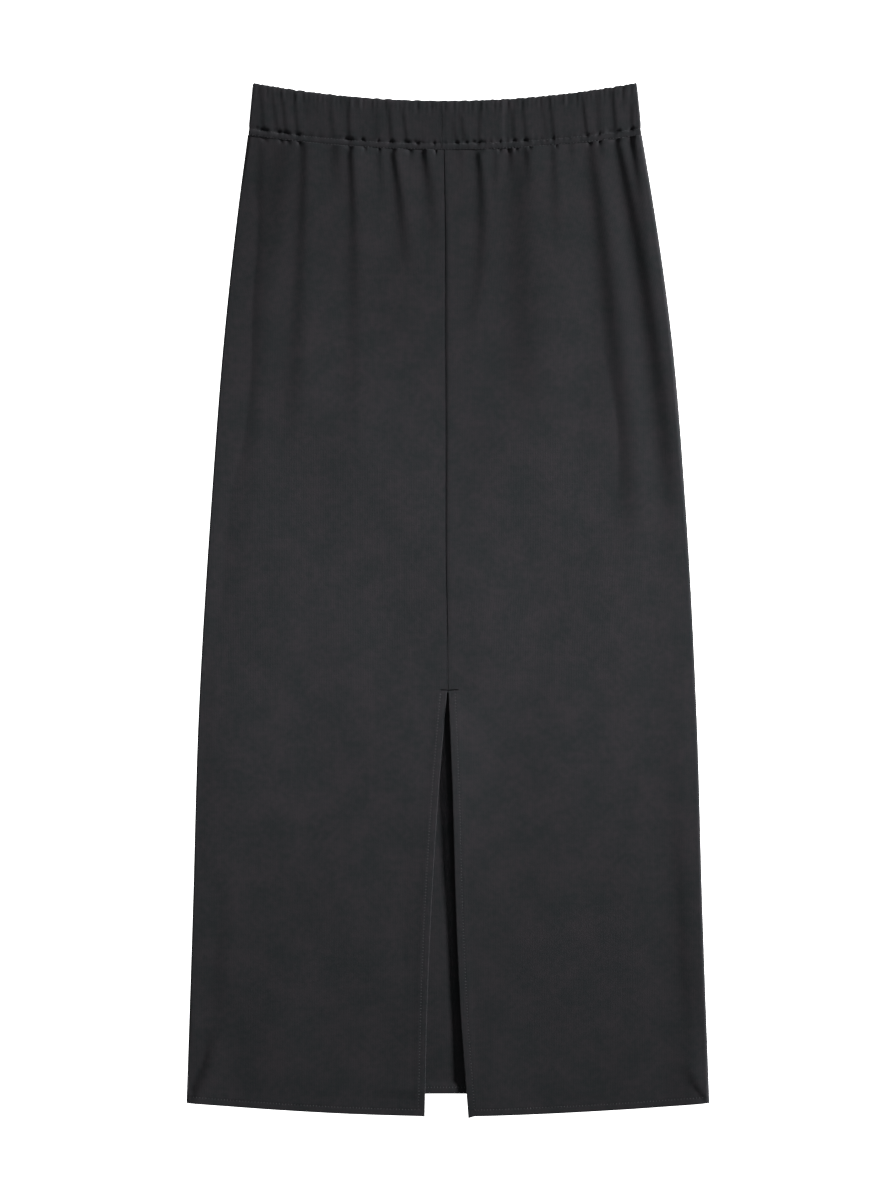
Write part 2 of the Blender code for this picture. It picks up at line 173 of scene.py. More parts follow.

# %% [markdown]
# ## How the cloth lies
#
# Cloth shows its folds as light and shade, so their cross-section matters more than their number. Here each
# fold is a slope that faces left, with a shallow trough before it and a low crest after it. A gather's
# slope is short and steep where the thread holds it, and it widens on its way down. Each fold is one row
# with three values for its place across, its width and its rise: at the waist seam, halfway, and where it
# dies out. The pockets are the short hollows that the waist's stitches pull in. A cloth simulation would
# give folds in other places, so these are listed one by one and summed.

# %% The folds below the waist, in millimetres
Fold = namedtuple("Fold", "reach place width rise")
FOLDS = (
    Fold(280, (-165.5, -171.0, -180.0), (3.0, 7.0, 11.0), (0.7, 0.9, 1.4)),
    Fold(120, (-147.0, -150.0, -152.0), (11.0, 13.0, 13.0), (2.4, 1.3, 0.5)),
    Fold(260, (-127.5, -132.0, -139.0), (3.4, 6.5, 11.0), (1.5, 1.6, 1.6)),
    Fold(45, (-99.8, -99.0, -98.0), (5.0, 6.0, 7.0), (2.2, 1.2, 0.3)),
    Fold(250, (-86.8, -83.5, -86.5), (2.4, 6.5, 9.0), (2.2, 1.3, 0.9)),
    Fold(45, (-61.8, -59.5, -57.5), (2.2, 3.4, 4.0), (1.0, 0.7, 0.2)),
    Fold(110, (-49.5, -42.0, -37.3), (2.2, 4.6, 7.1), (2.1, 1.9, 0.3)),
    Fold(20, (-32.5, -32.0, -31.0), (2.0, 2.6, 3.0), (0.7, 0.3, 0.0)),
    Fold(90, (-22.0, -15.5, -12.0), (2.2, 5.0, 6.0), (2.3, 1.3, 0.5)),
    Fold(30, (11.3, 12.0, 13.0), (2.2, 3.0, 3.0), (0.6, 0.3, 0.0)),
    Fold(160, (26.0, 29.5, 20.0), (2.4, 5.2, 6.0), (2.2, 1.5, 0.6)),
    Fold(40, (42.6, 42.0, 41.0), (2.2, 3.0, 3.4), (0.8, 0.7, 0.2)),
    Fold(30, (55.2, 56.0, 57.0), (2.2, 3.0, 4.0), (1.8, 0.8, 0.2)),
    Fold(240, (64.0, 64.5, 70.0), (8.0, 16.0, 18.0), (1.5, 3.2, 1.2)),
    Fold(35, (69.6, 70.5, 72.0), (2.2, 3.0, 4.0), (1.8, 0.8, 0.2)),
    Fold(80, (93.5, 94.6, 97.0), (2.6, 4.0, 5.0), (1.1, 0.9, 0.3)),
    Fold(25, (110.0, 110.0, 110.0), (2.6, 3.0, 3.0), (0.8, 0.4, 0.0)),
    Fold(340, (126.0, 146.0, 161.0), (4.5, 10.0, 12.0), (1.8, 4.2, 3.0)),
    Fold(25, (136.0, 137.0, 138.0), (3.0, 3.0, 3.0), (1.3, 0.6, 0.0)),
    Fold(340, (149.5, 180.5, 197.0), (2.8, 9.5, 10.0), (2.2, 5.8, 2.6)),
    Fold(160, (163.2, 174.5, 186.0), (2.2, 4.5, 6.0), (2.6, 1.0, 0.3)),
)
TROUGH_SHARE = 0.35
FOLD_DIES = (0.8, 1.2)
FOLD_SPREAD = 2.2
FOLD_SETTLES = 8 * MM
Pocket = namedtuple("Pocket", "place half_width")
POCKETS = [Pocket(*pair) for pair in (
    (-162.6, 2.4), (-147.7, 2.0), (-142.0, 2.4), (-131.8, 1.6), (-86.5, 2.6), (-74.0, 1.2), (-61.0, 1.0),
    (-48.2, 2.0), (-34.0, 2.2), (-21.5, 1.6), (-11.0, 1.0), (28.5, 3.4), (45.7, 1.2), (54.0, 1.4),
    (60.5, 1.2), (72.3, 1.8), (96.0, 0.8), (125.5, 1.8), (134.0, 1.0), (149.5, 3.6), (163.5, 1.8),
)]
POCKET_RUN = 3.6 * MM
POCKET_DEPTH = 1.3 * MM


def through(values, share):
    """A smooth path through three values at shares 0, 0.5 and 1."""
    start, middle, end = values
    return start + (4 * middle - 3 * start - end) * share + 2 * (start + end - 2 * middle) * share**2


def crease(distance, width, soft):
    """A valley's depth, 1 at its bottom. A small soft makes it sharp as a crease, a large one rounds it."""
    return np.exp(-(np.sqrt(distance**2 + soft**2) - soft) / width)


def fold_shape(away, width, rise, settles):
    """A fold's height at distances from its slope's middle. Its trough and crest die out over settles."""
    slope = 0.5 + 0.5 * np.tanh(away / width) - TROUGH_SHARE
    return rise * slope * crease(away, FOLD_SPREAD * width + settles, width)


def fold_height(x, below_seam):
    """How far all the folds and pockets together raise the cloth."""
    height = np.zeros(np.broadcast(x, below_seam).shape)
    for fold in FOLDS:
        run = below_seam / (fold.reach * MM)
        share = np.clip(run, 0.0, 1.0)
        away = x - through(fold.place, share) * MM
        rise = through(fold.rise, share) * MM * (1.0 - smooth_step(*FOLD_DIES, run))
        height += fold_shape(away, through(fold.width, share) * MM, rise, FOLD_SETTLES)
    for pocket in POCKETS:
        away = (x - pocket.place * MM) / (pocket.half_width * MM)
        height -= POCKET_DEPTH * np.exp(-((below_seam / POCKET_RUN) ** 2) - away**2)
    return height


print(len(FOLDS), "folds and", len(POCKETS), "pockets below the waist seam")

# %% [markdown]
# ## Unevenness
#
# Jersey never lies dead flat: broad shallow swells some centimetres across stay in it from handling. They
# are a sum of waves with random directions from one fixed seed, so that every run gives the same cloth. A
# noise texture could raise the cloth too, but a sum of a few waves has no small lumps in it.

# %% Broad swells in the cloth
SWELLS = 14
SWELL_LENGTHS = (38 * MM, 150 * MM)
SWELL_HEIGHT = 0.055 * MM
USUAL_SWELL = 80 * MM
SWELL_STRETCH = 0.6
chance = np.random.default_rng(7)
swell_angles = chance.uniform(0.0, math.pi, SWELLS)
swell_lengths = chance.uniform(*SWELL_LENGTHS, SWELLS)
swell_phases = chance.uniform(0.0, 2.0 * math.pi, SWELLS)


def swell(x, y):
    """Broad shallow waves, a few tenths of a millimetre high in all, longer down the skirt than across it."""
    height = np.zeros(np.broadcast(x, y).shape)
    for angle, length, phase in zip(swell_angles, swell_lengths, swell_phases):
        run = x * math.cos(angle) + SWELL_STRETCH * y * math.sin(angle)
        height += SWELL_HEIGHT * (length / USUAL_SWELL) * np.sin(2.0 * math.pi * run / length + phase)
    return height


print("swells", SWELLS, "mm long", np.round(np.sort(swell_lengths) / MM).astype(int).tolist())

# %% [markdown]
# ## Folds at the hem's corners
#
# The side seams pull at the hem, so a short fold climbs slantwise out of each bottom corner and a long
# faint one runs up beside each side. The darkness beside them could be painted, but real folds change with
# the light, so these are shapes too: slopes that face left, like the folds from the waist.

# %% The corner folds, in millimetres above the hem and in from the side
CornerFold = namedtuple("CornerFold", "side low high low_inset high_inset width rise")
CORNER_FOLDS = (
    CornerFold(-1, -8, 76, -2.5, 23.5, 5.2, 3.2),
    CornerFold(-1, 40, 240, 26.0, 20.0, 8.0, 0.9),
    CornerFold(1, -2, 42, -2.0, 24.0, 2.2, 1.3),
    CornerFold(1, 40, 330, 14.0, 20.0, 6.0, 1.1),
)
CORNER_GROWS = (0.0, 0.25)
CORNER_FADES = (0.4, 1.0)


def corner_height(down, from_side, side):
    """How far the corner folds raise the front on the right side, and lower it on the left."""
    height = np.zeros(np.broadcast(down, from_side).shape)
    for fold in CORNER_FOLDS:
        if fold.side != side:
            continue
        run = np.clip(((1.0 - down) * PANEL_LENGTH / MM - fold.low) / (fold.high - fold.low), 0.0, 1.0)
        centre = fold.low_inset + (fold.high_inset - fold.low_inset) * run
        slope = 0.5 - 0.5 * np.tanh((from_side / MM - centre) / fold.width)
        height += side * fold.rise * MM * hump(CORNER_GROWS, CORNER_FADES, run) * slope
    return height


print("folds at the hem's corners", len(CORNER_FOLDS))

# %% [markdown]
# ## Heights of the front
#
# The front stands highest where it leaves the waistband, falls to lie on the back within a hand's width,
# and lifts a little at its turned hem. It sinks towards the left side, and it bulges at the right hip.
# Along the slit the right flap stands up and the left one lies down. Each turned edge is two cloths thick,
# pulled in by its row of stitches. The whole height is one sum of simple terms, so each one can be changed
# by itself, which a sculpted mesh would not allow.

# %% The front's height
FRONT_LAID = 3.4 * MM
FRONT_AT_WAIST = 5.9 * MM
FRONT_AT_HEM = 4.0 * MM
WAIST_FALL = 70 * MM
HEM_GROWS = (0.90, 0.985)
SIDE_SEAM_Z = 1.95 * MM
SIDE_RIDGE = 40 * MM
LEFT_SINK = 1.2 * MM
SINK_GROWS = (0.0, 0.06)
SINK_FADES = (0.78, 0.92)
LEFT_BULGE = -0.35 * MM
RIGHT_BULGE = 1.0 * MM
BULGE_GROWS = (0.0, 0.12)
BULGE_FADES = (0.28, 0.50)
SWELL_INLAND = 12 * MM
SLIT_LIFT = 2.0 * MM
SLIT_LIFT_WIDTH = 30 * MM
SLIT_LIFT_GROWS = (SLIT_SHARE - 0.004, SLIT_SHARE + 0.03)
SLIT_LIFT_FALLS = (SLIT_SHARE + 0.05, 0.9)
SLIT_LIFT_LOST = 0.75
FLAP_DROOP = 0.3 * MM
DROOP_GROWS = (3 * MM, 18 * MM)
TURNED_EDGE = (5.5 * MM, 12.5 * MM)
TURN_SHOWS = 0.2 * MM
EDGE_ROUND = 0.5 * MM
PROP_GROWS = (SLIT_SHARE - 0.02, SLIT_SHARE + 0.04)
PROP_FADES = (0.0, 60 * MM)
STITCH_INSET = 5.8 * MM
STITCH_PULL = 0.20 * MM
STITCH_GROOVE = 1.1 * MM
SLIT_PULL = 0.08 * MM


def side_seam_z(down, side):
    """The side seam's height: more at the waistband and the turned hem, and where the right hip bulges."""
    to_waist = (FRONT_AT_WAIST / 2.0 - SIDE_SEAM_Z) * (1.0 - smooth_step(0.0, 0.10, down))
    to_hem = ((FRONT_AT_HEM + CLOTH) / 2.0 - SIDE_SEAM_Z) * smooth_step(*HEM_GROWS, down)
    bulge = (RIGHT_BULGE if side > 0 else LEFT_BULGE) * hump(BULGE_GROWS, BULGE_FADES, down)
    return SIDE_SEAM_Z + to_waist + to_hem + bulge


def turned(from_edge):
    """1 where an edge is turned under, and 0 past its stitching."""
    return 1.0 - smooth_step(*TURNED_EDGE, from_edge)


def stitched(from_edge, pull=STITCH_PULL):
    """The narrow groove that a row of stitches pulls in beside an edge."""
    return pull * np.exp(-(((from_edge - STITCH_INSET) / STITCH_GROOVE) ** 2))


def rounded(from_edge, radius):
    """How far a cloth's face drops towards its rounded edge."""
    inside = np.clip(radius - from_edge, 0.0, radius)
    return radius - np.sqrt(radius**2 - inside**2)


def front_height(x, y, down, from_side, from_inner, from_hem, side):
    """The height of the front's upper side before its edges are rounded, and 1 where the cloth is double."""
    below_seam = down * PANEL_LENGTH
    height = FRONT_LAID + (FRONT_AT_WAIST - FRONT_LAID) * np.exp(-below_seam / WAIST_FALL)
    height = height + (FRONT_AT_HEM - FRONT_LAID) * smooth_step(*HEM_GROWS, down)
    sink = LEFT_SINK * (side < 0) * hump(SINK_GROWS, SINK_FADES, down)
    ridge = 2.0 * side_seam_z(down, -1) - height - sink
    height = height + ridge * (1.0 - smooth_step(0.0, SIDE_RIDGE, from_side))
    height = height + fold_height(x, below_seam) + corner_height(down, from_side, side)
    height = height + swell(x, y) * smooth_step(0.0, SWELL_INLAND, from_side)
    if side > 0:
        into_slit = smooth_step(*SLIT_LIFT_GROWS, down)
        into_slit = into_slit * (1.0 - SLIT_LIFT_LOST * smooth_step(*SLIT_LIFT_FALLS, down))
        height = height + SLIT_LIFT * into_slit * np.exp(-((from_inner / SLIT_LIFT_WIDTH) ** 2))
    past = back_hem_y(x / HEM_HALF) - y
    on_back = 2.0 * CLOTH + SEAM_GAP + CLOTH * turned(-past)
    propped = smooth_step(*PROP_GROWS, down) * (1.0 - smooth_step(*PROP_FADES, from_inner))
    on_back = on_back + (CLOTH - TURN_SHOWS) * propped
    droop = FLAP_DROOP * smooth_step(*DROOP_GROWS, past)
    height = np.where(past > 0.0, height - droop, np.maximum(height, on_back))
    slit_edge = np.where(down > SLIT_SHARE, from_inner, 1.0)
    double = np.maximum(turned(from_hem), turned(slit_edge)) * smooth_step(1 * MM, 7 * MM, from_side)
    height = height + TURN_SHOWS * double - np.maximum(stitched(from_hem), stitched(slit_edge, SLIT_PULL))
    return height, double


print("side seam halfway down, mm", [round(float(side_seam_z(0.5, side)) / MM, 2) for side in (-1, 1)])

# %% [markdown]
# ## From points to cloth
#
# A panel starts as a grid of points on its outer side. The wall's inner side is the same grid moved inwards
# along its normals, so the cloth keeps one thickness over every fold. A Solidify modifier could do that,
# but the turned edges are two cloths thick and rounded, which a grid can give at each point.

# %% Places along a line, and normals
NEAR_EDGE = np.array([0, 0.06, 0.16, 0.3, 0.5, 0.8, 1.2, 1.9, 2.8, 3.8, 4.7, 5.3, 5.8,
                      6.3, 6.9, 7.5, 8.2, 9.2, 10.6, 12.4, 14.5]) * MM
STITCH_LINE = -1 - int(np.argmin(np.abs(NEAR_EDGE - STITCH_INSET)))
print("lines of points beside an edge", len(NEAR_EDGE), "and the stitched one", STITCH_LINE)


def spaced(start, *stretches):
    """Places along a line. Each stretch is its end and its step, and starts where the last one ended."""
    places = [start]
    for end, step in stretches:
        count = max(1, round((end - places[-1]) / step))
        places += list(np.linspace(places[-1], end, count + 1)[1:])
    return np.array(places)


def normals_of(points):
    """Unit normals of a grid of points, on its upper side. The first and last rows lean to neither end."""
    normal = np.cross(np.gradient(points, axis=1), np.gradient(points, axis=0))
    normal[[0, -1], :, 1] = 0.0
    rows, columns, _ = points.shape
    normal *= np.sign(normal[rows // 2, columns // 2, 2])
    return normal / np.linalg.norm(normal, axis=2, keepdims=True)


# %% A closed shell between two grids
def shell_faces(rows, columns):
    """Quads of the outer grid, the inner grid behind it, and the rim between them."""
    index = np.arange(rows * columns).reshape(rows, columns)
    corners = [index[:-1, :-1], index[:-1, 1:], index[1:, 1:], index[1:, :-1]]
    quads = np.stack(corners, axis=-1).reshape(-1, 4)
    under = rows * columns
    rim = np.concatenate([index[0], index[1:, -1], index[-1, -2::-1], index[-2:0:-1, 0]])
    after = np.roll(rim, -1)
    edge = np.stack([after, rim, rim + under, after + under], axis=-1)
    return np.concatenate([quads, quads[:, ::-1] + under, edge])


def add_object(name, data):
    """An object in the scene with that mesh, light or camera, at the origin."""
    made = bpy.data.objects.new(name, data)
    bpy.context.scene.collection.objects.link(made)
    return made


def shell(name, outer, inner, flat, material):
    """A thin closed wall between two grids of points, whose flat pattern in metres is its UV map."""
    rows, columns, _ = outer.shape
    points = np.concatenate([outer.reshape(-1, 3), inner.reshape(-1, 3)])
    faces = shell_faces(rows, columns)
    a, b, c, d = (points[faces[:, corner]] for corner in range(4))
    volume = np.sum(a * np.cross(b, c)) + np.sum(a * np.cross(c, d))
    if volume < 0.0:
        faces = faces[:, ::-1]
    mesh = bpy.data.meshes.new(name)
    mesh.from_pydata(points.tolist(), [], faces.tolist())
    pattern = mesh.uv_layers.new(name="pattern")
    uv = np.concatenate([flat.reshape(-1, 2)] * 2)[faces.ravel()]
    pattern.data.foreach_set("uv", uv.astype(np.float32).ravel())
    mesh.materials.append(material)
    mesh.shade_smooth()
    print(name, "faces", len(faces), "size mm", np.round(np.ptp(points, axis=0) / MM, 1))
    return add_object(name, mesh)

# %% [markdown]
# ## Jersey
#
# Jersey is a single knit: columns of small V-shaped stitches called wales, brushed and matt, in cotton that
# is dyed a soft charcoal. To the eye it is almost one colour, with faint mottling where the fibres lie
# unevenly, and a pale bloom where the surface turns away, because loose fibre ends catch the light. The
# bloom is the shader's sheen. The knit could be real loops, but there are too many of them, so it is a bump
# on the cloth's own UV map, which runs along the panel and gathers with it.

# %% Functions for colours, nodes and materials
def linear(code):
    """An sRGB hex colour as linear red, green, blue and alpha."""
    parts = [int(code[place : place + 2], 16) / 255.0 for place in (1, 3, 5)]
    return [part / 12.92 if part <= 0.04045 else ((part + 0.055) / 1.055) ** 2.4 for part in parts] + [1.0]


def add_node(tree, kind, settings=None, inputs=None, links=None):
    """Adds a node, sets its properties and input values, and links other sockets to its inputs."""
    node = tree.nodes.new(kind)
    for name, value in (settings or {}).items():
        setattr(node, name, value)
    for key, value in (inputs or {}).items():
        node.inputs[key].default_value = value
    for key, socket in (links or {}).items():
        tree.links.new(socket, node.inputs[key])
    return node


def new_material(name, inputs):
    """A material whose one Principled shader has those inputs."""
    material = bpy.data.materials.new(name)
    material.use_nodes = True
    for key, value in inputs.items():
        material.node_tree.nodes["Principled BSDF"].inputs[key].default_value = value
    return material


# %% Charcoal cotton jersey
WALE_SPACING = 1.5 * MM
COURSE_SPACING = 1.3 * MM
STITCH_SLANT = 1.1
WALE_RELIEF = 1.4
FUZZ_RELIEF = 2.0
KNIT_DEPTH = 0.07 * MM
FUZZ_SIZE = 1.1 * MM
MOTTLE_SIZE = 5.0 * MM
PATCH_SIZE = 28.0 * MM
MOTTLE_RANGE = {"From Min": 0.75, "From Max": 1.25}
BUMP_STRENGTH = 0.55


def jersey():
    """Brushed cotton jersey. A real wale is about 0.8 mm wide, too fine for the picture, so it is coarser."""
    inputs = {"Roughness": 0.92, "IOR": 1.45, "Specular IOR Level": 0.2, "Sheen Weight": 0.8,
              "Sheen Roughness": 0.3, "Sheen Tint": linear("#B8B8BC")}
    material = new_material("brushed cotton jersey, charcoal", inputs)
    tree = material.node_tree
    shader = tree.nodes["Principled BSDF"]
    place = add_node(tree, "ShaderNodeUVMap", {"uv_map": "pattern"}).outputs[0]
    scale = (1.0 / WALE_SPACING, 1.0 / COURSE_SPACING, 0.0)
    scaled = add_node(tree, "ShaderNodeVectorMath", {"operation": "MULTIPLY"}, {1: scale}, {0: place})
    wales, courses, _ = add_node(tree, "ShaderNodeSeparateXYZ", links={0: scaled.outputs[0]}).outputs
    wave = add_node(tree, "ShaderNodeMath", {"operation": "PINGPONG"}, {1: 0.5}, {0: wales})
    leaning = add_node(tree, "ShaderNodeMath", {"operation": "MULTIPLY_ADD"}, {1: STITCH_SLANT},
                       {0: wave.outputs[0], 2: courses})
    loops = add_node(tree, "ShaderNodeMath", {"operation": "PINGPONG"}, {1: 0.5}, {0: leaning.outputs[0]})
    knit = add_node(tree, "ShaderNodeMath", {"operation": "MULTIPLY_ADD"}, {1: WALE_RELIEF},
                    {0: wave.outputs[0], 2: loops.outputs[0]})
    fuzz, mottle, patches = (
        add_node(tree, "ShaderNodeTexNoise", {}, {"Scale": 1.0 / size, "Detail": detail}, {"Vector": place})
        for size, detail in ((FUZZ_SIZE, 3.0), (MOTTLE_SIZE, 5.0), (PATCH_SIZE, 2.0)))
    relief = add_node(tree, "ShaderNodeMath", {"operation": "MULTIPLY_ADD"}, {1: FUZZ_RELIEF},
                      {0: fuzz.outputs["Fac"], 2: knit.outputs[0]})
    bump = add_node(tree, "ShaderNodeBump", {}, {"Strength": BUMP_STRENGTH, "Distance": KNIT_DEPTH},
                    {"Height": relief.outputs[0]})
    shade = add_node(tree, "ShaderNodeMath", {"operation": "ADD"}, {},
                     {0: mottle.outputs["Fac"], 1: patches.outputs["Fac"]})
    share = add_node(tree, "ShaderNodeMapRange", {}, MOTTLE_RANGE, {"Value": shade.outputs[0]})
    # Inputs 6 and 7 of this node are its two colours, and output 2 is the mixed one.
    colours = {6: linear("#232628"), 7: linear("#2D2B2E")}
    colour = add_node(tree, "ShaderNodeMix", {"data_type": "RGBA"}, colours, {0: share.outputs[0]})
    tree.links.new(colour.outputs[2], shader.inputs["Base Color"])
    tree.links.new(bump.outputs[0], shader.inputs["Normal"])
    return material


cloth = jersey()
print("material", cloth.name)

# %% [markdown]
# ## The front panels
#
# Each front panel runs from the waist seam to the hem and from the side seam to the middle. Above the slit
# its inner edge is sewn to the other panel's, and below it the edge is turned under and stitched. At the
# side the cloth rolls down over the tube's edge. A plane with a Displace modifier could give the folds, but
# not the edge that rolls down. Columns and rows lie close together at the gathers and at each edge.

# %% Front panels
SIDE_TURNS = np.linspace(0.0, 0.5 * math.pi, 7)[None, :-1]
SIDE_SQUASH = 1.2
FULLNESS = 0.18
CORNER_DROPS = {-1: 0.42 * MM, 1: 1.4 * MM}
CORNER_WIDTH = 3.5 * MM
SEAM_DIP = 0.34 * MM
SEAM_DIP_WIDTH = 1.7 * MM
DIP_AT_WAIST = 0.35
DIP_GROWS = (0.0, 0.09)
DIP_LOST = 0.4
DIP_FALLS = (0.3, 0.5)
WAIST_PULL = 0.4 * MM
WAIST_PULL_RUN = 1.3 * MM
PULL_GROWS = (20 * MM, 60 * MM)
TUCK = 0.6 * MM

slit_run = SLIT_SHARE * PANEL_LENGTH
panel_rows = spaced(0.0, (12 * MM, 0.8 * MM), (60 * MM, 1.6 * MM), (200 * MM, 3 * MM),
                    (slit_run - 8 * MM, 5 * MM), (slit_run + 8 * MM, 1 * MM),
                    (PANEL_LENGTH - 16 * MM, 5 * MM))
panel_rows = np.concatenate([panel_rows, PANEL_LENGTH - NEAR_EDGE[::-1]])
COLUMNS = 125
ACROSS_PANEL = np.linspace(0.0, 1.0, COLUMNS)[None, 1:]


def gathered(down):
    """How much wider the flat cloth is than the gathered one: most at the waist, none below the hips."""
    return 1.0 + FULLNESS * (1.0 - smooth_step(0.0, 0.2, down))


def front_panel(side):
    """The outer and inner points of a front panel, and its flat pattern."""
    down = (panel_rows / PANEL_LENGTH)[:, None]
    middle = along(SECTIONS, "shift", down)
    half = HEM_HALF * along(SECTIONS, "width", down)
    seam_z = side_seam_z(down, side)
    turn_x = middle + side * (half - SIDE_SQUASH * seam_z)
    inner_x = inner_edge_x(down, side)
    width = side * (turn_x - inner_x)
    wide = NEAR_EDGE[-1] + (width - NEAR_EDGE[-1]) * ACROSS_PANEL
    from_inner = np.concatenate([NEAR_EDGE + 0.0 * width, wide], axis=1)[:, ::-1]
    x = inner_x + side * from_inner
    from_side = width - from_inner
    arc_x = turn_x + side * SIDE_SQUASH * seam_z * np.cos(SIDE_TURNS)
    all_x = np.concatenate([arc_x, x], axis=1)
    across = (all_x - middle) / half
    rolled = np.concatenate([width + seam_z * (0.5 * math.pi - SIDE_TURNS), from_inner], axis=1)
    drop = CORNER_DROPS[side] * np.exp(-((rolled / CORNER_WIDTH) ** 2))
    top = seam_y(across) + TUCK
    all_y = top + (front_hem_y(across) - drop - top) * down
    y = all_y[:, arc_x.shape[1]:]
    from_hem = (1.0 - down) * PANEL_LENGTH
    height, double = front_height(x, y, down, from_side, from_inner, from_hem, side)
    pull = WAIST_PULL * (1.0 if side > 0 else smooth_step(*PULL_GROWS, from_side))
    height = height - pull * np.exp(-((down * PANEL_LENGTH / WAIST_PULL_RUN) ** 2))
    if side > 0:
        sewn = SEAM_DIP * np.exp(-((from_inner / SEAM_DIP_WIDTH) ** 2)) * (down < SLIT_SHARE)
        sewn = sewn * (DIP_AT_WAIST + (1.0 - DIP_AT_WAIST) * smooth_step(*DIP_GROWS, down))
        height = height - sewn * seam_share(down) * (1.0 - DIP_LOST * smooth_step(*DIP_FALLS, down))
    base = seam_z + SEAM_GAP / 2.0
    arc_z = base + (height[:, :1] - base) * np.sin(SIDE_TURNS)
    face = np.stack([all_x, all_y, np.concatenate([arc_z, height], axis=1)], axis=-1)
    normal = normals_of(face)
    normal[:, 0] = (side, 0.0, 0.0)
    walls = CLOTH * (1.0 + np.concatenate([0.0 * arc_x, double], axis=1))
    sewn_edge = (side < 0) * (down < SLIT_SHARE)
    curl = rounded(np.minimum(rolled + sewn_edge, from_hem), EDGE_ROUND)[:, :, None]
    outer = face - normal * curl
    inner = face - normal * (walls[:, :, None] - curl)
    flat_x = side * (rolled + np.abs(inner_x - middle)) * gathered(down)
    return outer, inner, np.stack([flat_x, all_y], axis=-1)


fronts = {}
front_outer = {}
for name, side in (("left", -1), ("right", 1)):
    outer, inner, flat = front_panel(side)
    fronts[name] = shell(f"front_panel_{name}", outer, inner, flat, cloth)
    front_outer[name] = outer

# %% [markdown]
# ## The back panel
#
# The back panel lies flat on the surface and turns up at both sides to meet the front. It is one piece of
# cloth, so it could be a plain plate, but it shows in the slit and from below. Its hem is turned to the
# inside, and its gathers rise from the surface near the waist, so it still rests flat.

# %% The back panel, with its folds in millimetres
BackFold = namedtuple("BackFold", "start end reach half_width depth")
BACK_FOLDS = [BackFold(*row) for row in (
    (-152, -160, 80, 4.0, 0.7), (-131, -136, 110, 5.0, 0.9), (-104, -110, 60, 3.6, 0.7),
    (-82, -80, 120, 4.6, 0.9), (-55, -58, 70, 3.6, 0.7), (-31, -29, 100, 4.2, 0.9), (-8, -10, 60, 3.4, 0.7),
    (17, 18, 110, 4.4, 0.9), (43, 40, 70, 3.6, 0.7), (66, 70, 120, 4.8, 0.9), (92, 95, 60, 3.6, 0.7),
    (113, 119, 110, 4.6, 0.9), (137, 146, 90, 4.2, 0.8), (155, 165, 70, 3.6, 0.7),
)]
MOST_RISE = 0.9 * MM
RISE_PASSED_ON = 0.25
BACK_RIPPLE = (-0.1 * MM, 0.25 * MM)
BACK_COLUMNS = 181
back_rows = spaced(0.0, (12 * MM, 1.5 * MM), (120 * MM, 3 * MM), (PANEL_LENGTH - 16 * MM, 8 * MM))
back_rows = np.concatenate([back_rows, PANEL_LENGTH - NEAR_EDGE[::-1]])


def back_rise(x, below_seam):
    """How far the gathers lift the back panel's under side off the surface."""
    rise = np.zeros(np.broadcast(x, below_seam).shape)
    for fold in BACK_FOLDS:
        run = np.clip(below_seam / (fold.reach * MM), 0.0, 1.0)
        centre = (fold.start + (fold.end - fold.start) * run) * MM
        width = fold.half_width * MM * (0.6 + 1.2 * run)
        rise += fold.depth * MM * (1.0 - run) ** 1.3 * crease(x - centre, width, width * (0.4 + run))
    return np.minimum(rise, MOST_RISE)


def back_panel():
    """The under and upper points of the back panel, and its flat pattern."""
    down = (back_rows / PANEL_LENGTH)[:, None]
    middle = along(SECTIONS, "shift", down)
    half = HEM_HALF * along(SECTIONS, "width", down)
    left_turn, right_turn = side_seam_z(down, -1), side_seam_z(down, 1)
    left_out, right_out = SIDE_SQUASH * left_turn, SIDE_SQUASH * right_turn
    left_x, right_x = middle - half + left_out, middle + half - right_out
    flat_x = left_x + (right_x - left_x) * np.linspace(0.0, 1.0, BACK_COLUMNS)
    left_arc = left_x - left_out * np.cos(SIDE_TURNS)
    right_arc = right_x + right_out * np.cos(SIDE_TURNS[:, ::-1])
    left_up = (left_turn - SEAM_GAP / 2.0) * (1.0 - np.sin(SIDE_TURNS))
    right_up = (right_turn - SEAM_GAP / 2.0) * (1.0 - np.sin(SIDE_TURNS[:, ::-1]))
    x = np.concatenate([left_arc, flat_x, right_arc], axis=1)
    up = np.concatenate([left_up, 0.0 * flat_x, right_up], axis=1)
    across = (x - middle) / half
    top = seam_y(across) + TUCK
    y = top + (back_hem_y(across) - top) * down
    from_side = half - np.abs(x - middle)
    from_hem = (1.0 - down) * PANEL_LENGTH
    inland = smooth_step(2 * MM, 14 * MM, from_side)
    rise = back_rise(x, down * PANEL_LENGTH) * inland
    groove = stitched(from_hem) * inland
    under = np.stack([x, y, up + rise + groove], axis=-1)
    upwards = normals_of(under)
    upwards[:, 0] = (1.0, 0.0, 0.0)
    upwards[:, -1] = (-1.0, 0.0, 0.0)
    double = turned(from_hem) * smooth_step(2 * MM, 8 * MM, from_side)
    ripple = np.clip(0.5 * swell(x, y), *BACK_RIPPLE) * inland * smooth_step(0.0, 0.1, down)
    walls = CLOTH * (1.0 + double) + ripple - (1.0 - RISE_PASSED_ON) * rise - 2.0 * groove
    curl = rounded(from_hem, EDGE_ROUND)[:, :, None]
    outer = under + upwards * curl
    inner = under + upwards * (walls[:, :, None] - curl)
    return outer, inner, np.stack([(x - middle) * gathered(down), y], axis=-1)


back_outer, back_inner, flat = back_panel()
back = shell("back_panel", back_outer, back_inner, flat, cloth)

# %% [markdown]
# ## The waistband
#
# The waistband is a wide elastic wrapped in the same jersey. The elastic is shorter than the cloth, so the
# cloth stands up in pillows with sharp creases between them, and two rows of stitching below it leave a
# thin rib. One section, from the lower stitching up to the top, is swept across the waist. At each side it
# turns down round the fold of the tube. A Curve with a bevel could do it, but not with creases that differ.

